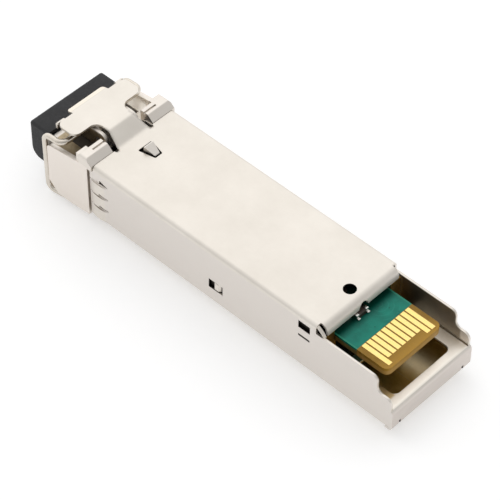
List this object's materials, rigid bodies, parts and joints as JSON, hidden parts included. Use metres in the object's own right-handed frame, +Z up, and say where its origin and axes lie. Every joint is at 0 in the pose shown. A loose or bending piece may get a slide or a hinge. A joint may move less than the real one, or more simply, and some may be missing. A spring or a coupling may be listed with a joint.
{
  "type": "pluggable optical transceiver",
  "caption": "Small form-factor pluggable optical transceiver with folded metal sleeve, duplex ports closed by a dust plug, wire bail latch and a board with an edge connector",
  "frame": {"origin": "in the plane of the sleeve's resting face, on the centre line, under the front edge of the latch window", "axes": "+X from the optical nose to the edge connector, +Z up to the latch side, +Y across"},
  "size_m": [0.0585, 0.0138, 0.0109],
  "materials": {
    "nickel_sheet": "satin nickel plating on folded sheet",
    "cast_nickel": "satin nickel plating on a zinc casting",
    "nickel_wire": "bright nickel plated wire",
    "spring_steel": "plain",
    "green_laminate": "solder mask over laminate",
    "gold_plating": "gold plating",
    "chip_ceramic": "matt ceramic",
    "black_package": "moulded epoxy",
    "amber_flex": "polyimide film",
    "black_rubber": "matt moulded rubber"
  },
  "bodies": {
    "module_body": {"sleeve": "nickel_sheet", "nose_housing": "cast_nickel", "lever_pin": "spring_steel", "latch_spring": "spring_steel", "main_board": "green_laminate", "contacts_latch_side": "gold_plating", "contacts_label_side": "gold_plating", "bypass_capacitor": "chip_ceramic", "laser_driver": "black_package", "limiting_amplifier": "black_package", "microcontroller": "black_package", "memory_chip": "black_package", "chip_capacitors": "chip_ceramic", "chip_resistors": "black_package", "filter_inductors": "chip_ceramic", "transmitter_can": "gold_plating", "transmitter_barrel": "spring_steel", "receiver_can": "gold_plating", "receiver_barrel": "spring_steel", "transmitter_flex": "amber_flex", "receiver_flex": "amber_flex", "optics_clamp": "spring_steel"},
    "bail_body": {"bail": "nickel_wire"},
    "lever_body": {"latch_lever": "nickel_sheet"},
    "plug_body": {"dust_plug": "black_rubber"}
  },
  "joints": [
    {"name": "bail_hinge", "type": "hinge", "parent": "module_body", "child": "bail_body", "pos_m": [-0.00715, 0, 0.00825], "axis": [0, 1, 0], "range_deg": [0, 100]},
    {"name": "lever_hinge", "type": "hinge", "parent": "module_body", "child": "lever_body", "pos_m": [-0.005, 0, 0.0078], "axis": [0, 1, 0], "range_deg": [0, 7], "deforming": ["latch_spring"]},
    {"name": "plug_slide", "type": "slide", "parent": "module_body", "child": "plug_body", "axis": [-1, 0, 0], "range_m": [0, 0.012]}
  ],
  "couplings": [
    {"joint": "lever_hinge", "follows": "bail_hinge", "ratio": 0.07}
  ]
}
